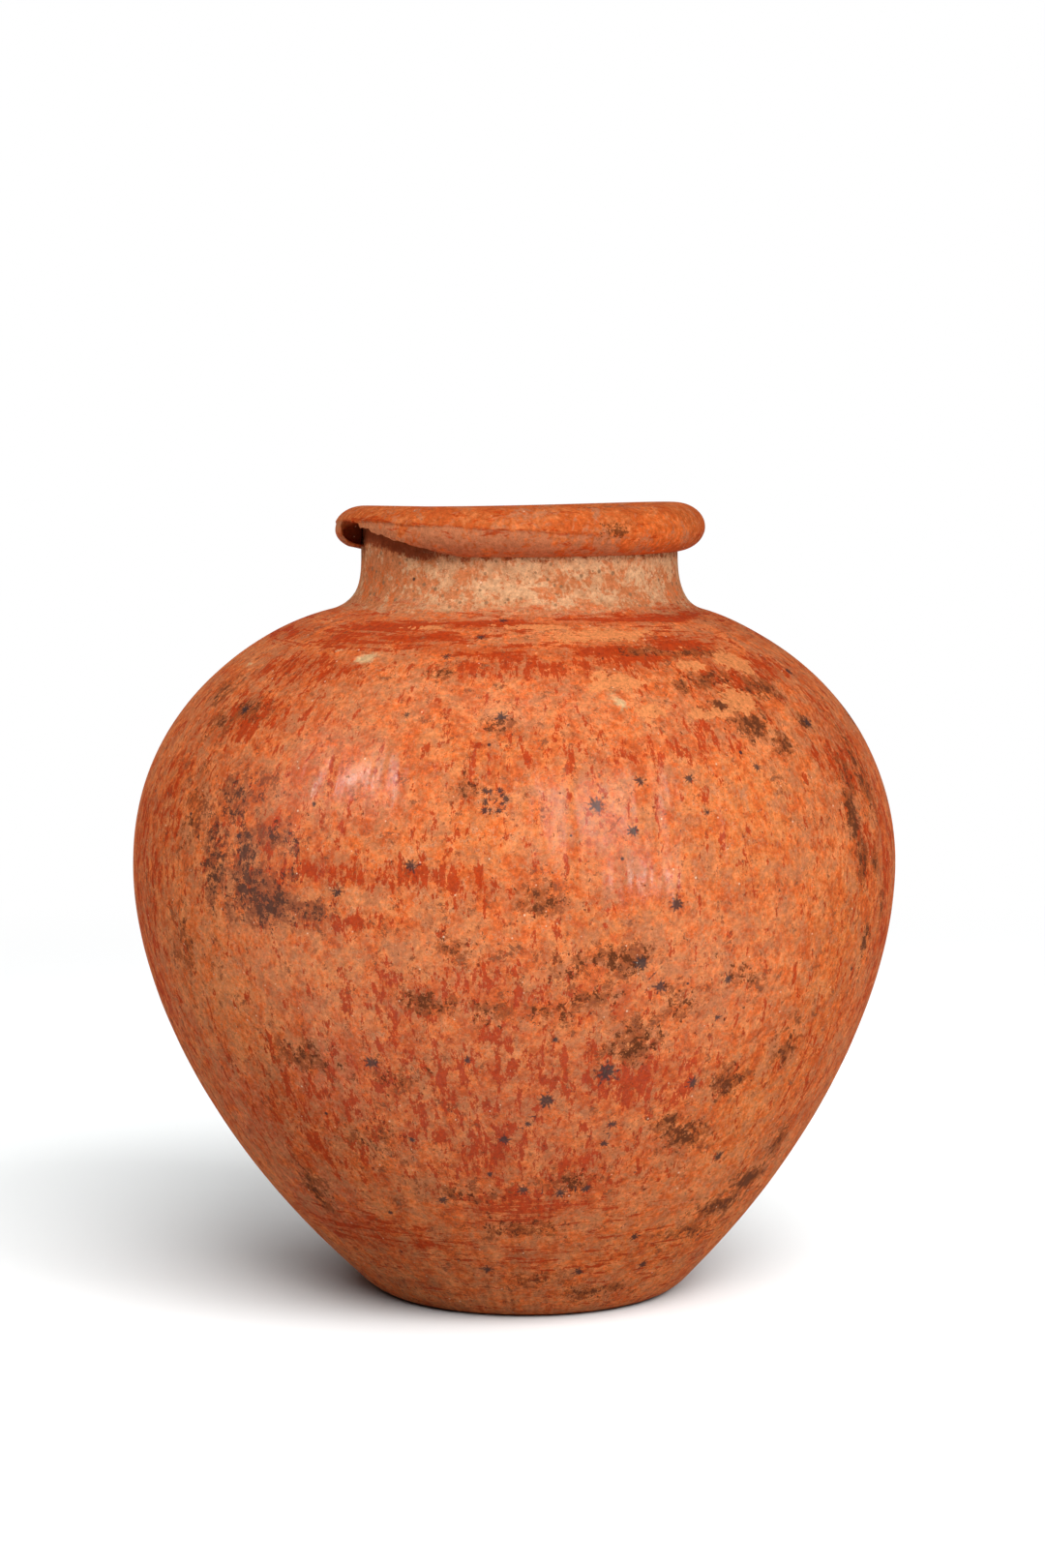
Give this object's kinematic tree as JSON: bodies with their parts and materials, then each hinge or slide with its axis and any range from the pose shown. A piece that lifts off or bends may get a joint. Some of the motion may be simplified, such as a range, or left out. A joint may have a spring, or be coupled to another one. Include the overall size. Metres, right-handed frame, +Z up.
{
  "type": "ceramic jar",
  "caption": "Round-bellied burnished earthenware jar with a short flared neck and a folded-out rim, standing on a small flat base; holds dry goods or water.",
  "frame": {"origin": "on the standing face, under the centre of the belly", "axes": "+Z up through the mouth, -Y towards the side seen from the front, +X to the right of that side"},
  "size_m": [0.2268, 0.2268, 0.235],
  "materials": {
    "red_slip": "burnished red-orange slip, satin and worn",
    "bare_clay": "unslipped buff clay, matt",
    "rim_slip": "smoothed orange slip, dull"
  },
  "bodies": {
    "root": {"base_pat": "red_slip", "wall_coil_1": "red_slip", "wall_coil_2": "red_slip", "wall_coil_3": "red_slip", "wall_coil_4": "red_slip", "wall_coil_5": "red_slip", "wall_coil_6": "red_slip", "wall_coil_7": "red_slip", "wall_coil_8": "red_slip", "neck_collar": "bare_clay", "rim_fold": "rim_slip"}
  },
  "joints": []
}
